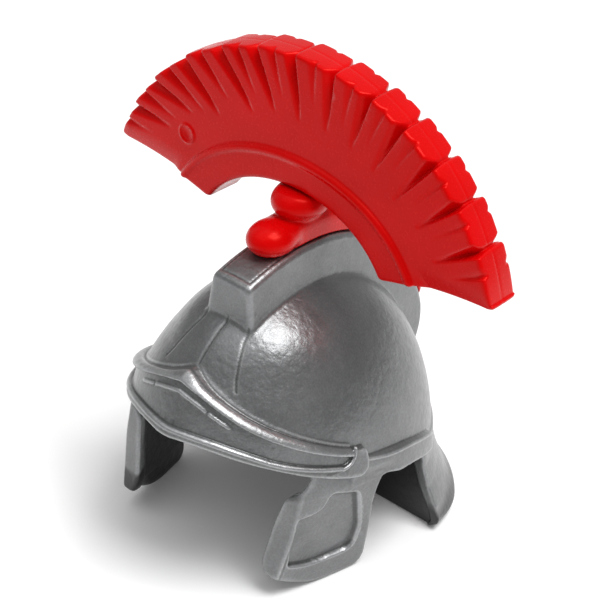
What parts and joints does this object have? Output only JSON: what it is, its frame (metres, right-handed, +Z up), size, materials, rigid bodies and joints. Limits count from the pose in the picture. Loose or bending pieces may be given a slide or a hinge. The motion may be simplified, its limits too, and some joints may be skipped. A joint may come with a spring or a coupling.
{
  "type": "toy centurion helmet",
  "caption": "Moulded plastic Roman centurion helmet for a play figure: silver shell with brow plate, cheek and neck guards, and a red pleated crest that runs from ear to ear.",
  "frame": {"origin": "on the floor under the middle of the whole helmet, crest included", "axes": "+Z up, -Y is the helmet's front, +X is the wearer's left, so the crest runs along X"},
  "size_m": [0.0422, 0.0369, 0.0469],
  "materials": {
    "shell": "silver-grey plastic with a satin metallic sheen",
    "stem": "glossy red plastic",
    "fan": "glossy red plastic"
  },
  "bodies": {
    "root": {"helmet_shell": "shell", "crest_stem": "stem", "crest_fan": "fan"}
  },
  "joints": []
}
